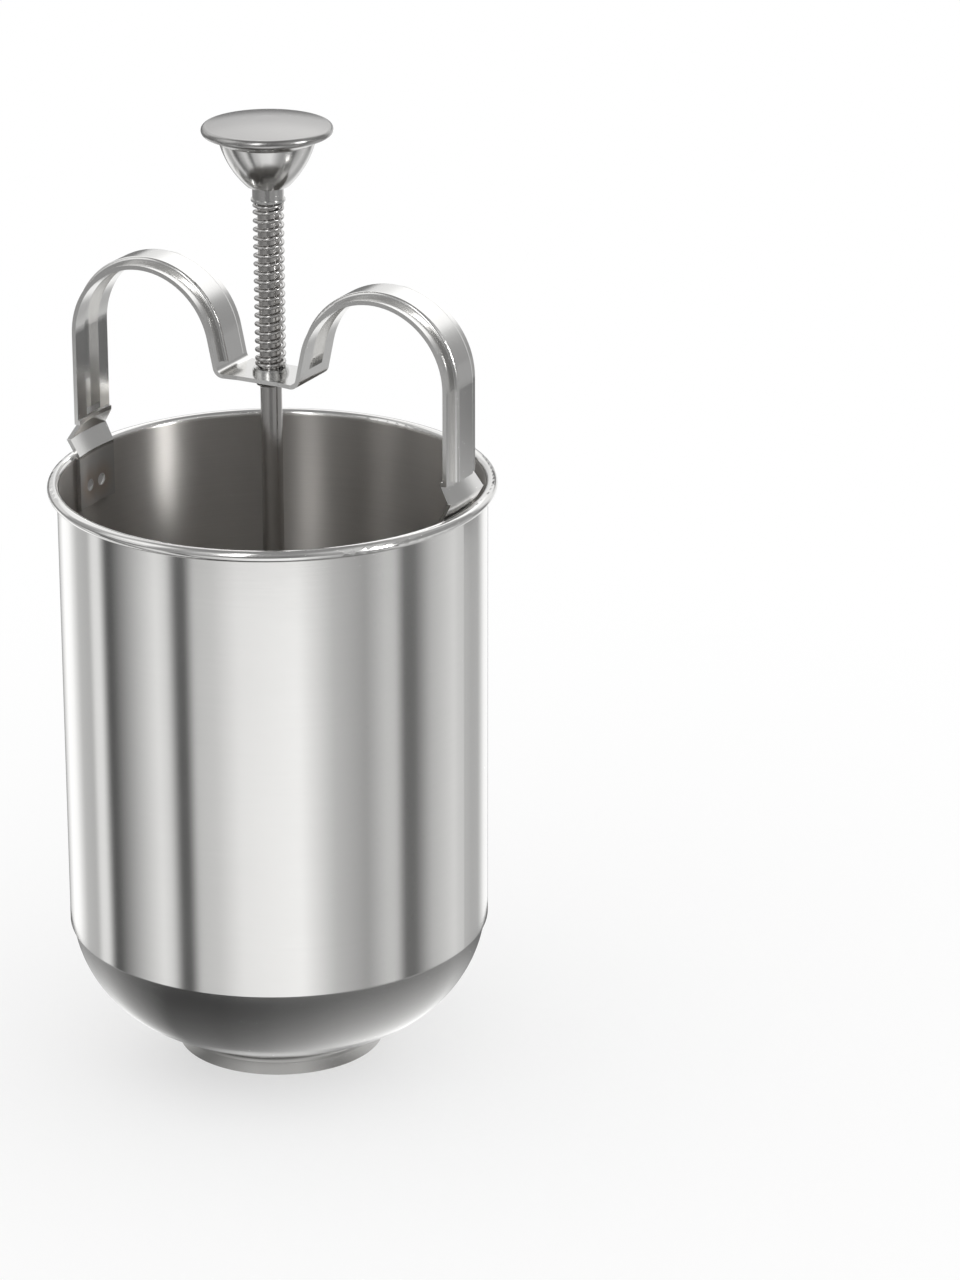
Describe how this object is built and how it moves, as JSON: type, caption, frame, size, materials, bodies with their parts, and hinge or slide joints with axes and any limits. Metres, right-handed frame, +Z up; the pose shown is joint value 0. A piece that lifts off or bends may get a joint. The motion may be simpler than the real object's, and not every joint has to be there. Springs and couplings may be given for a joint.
{
  "type": "donut maker",
  "caption": "Hand-held steel batter dispenser for ring donuts: open cylinder with bowl-shaped bottom and outlet, strip handle, and a spring-loaded plunger with a conical push knob.",
  "frame": {"origin": "middle of the ring face at the bottom of the outlet collar, on which the maker stands", "axes": "+Z up along the plunger rod, +X along the handle from one tab to the other, +Y to the back"},
  "size_m": [0.1044, 0.1044, 0.2272],
  "materials": {
    "wall_steel": "bright polished stainless sheet with faint circumferential lines",
    "bowl_steel": "bright spun stainless sheet with fine turning rings",
    "handle_steel": "bright polished stainless strip, lightly scratched along its length",
    "bush_steel": "plain rolled stainless eyelet",
    "rod_steel": "drawn stainless rod",
    "spring_steel": "drawn spring wire",
    "knob_steel": "bright polished spun stainless",
    "stopper_steel": "polished stainless disc",
    "hardware_steel": "plain stainless washers and nuts"
  },
  "bodies": {
    "vessel": {"container_wall": "wall_steel", "bottom_bowl": "bowl_steel", "outlet_collar": "bowl_steel", "handle_strip": "handle_steel", "rod_guide_bush": "bush_steel", "spring_bottom_washer": "hardware_steel", "return_spring": "spring_steel"},
    "spring_seat": {"spring_top_washer": "hardware_steel"},
    "plunger": {"plunger_rod": "rod_steel", "knob_ferrule": "knob_steel", "knob_cup": "knob_steel", "knob_lock_washer": "hardware_steel", "knob_nut": "hardware_steel", "knob_cap": "knob_steel", "stopper_disc": "stopper_steel", "stopper_top_washer": "hardware_steel", "stopper_top_nut": "hardware_steel", "stopper_bottom_washer": "hardware_steel", "stopper_bottom_nut": "hardware_steel"}
  },
  "joints": [
    {"name": "plunger_slide", "type": "slide", "parent": "vessel", "child": "spring_seat", "axis": [0, 0, -1], "range_m": [0, 0.02], "stiffness_N_per_m": 250, "springref_m": -0.02, "deforming": ["return_spring"]},
    {"name": "plunger_spin", "type": "hinge", "parent": "spring_seat", "child": "plunger", "pos_m": [0, 0, 0.2086], "axis": [0, 0, 1], "continuous": true}
  ]
}
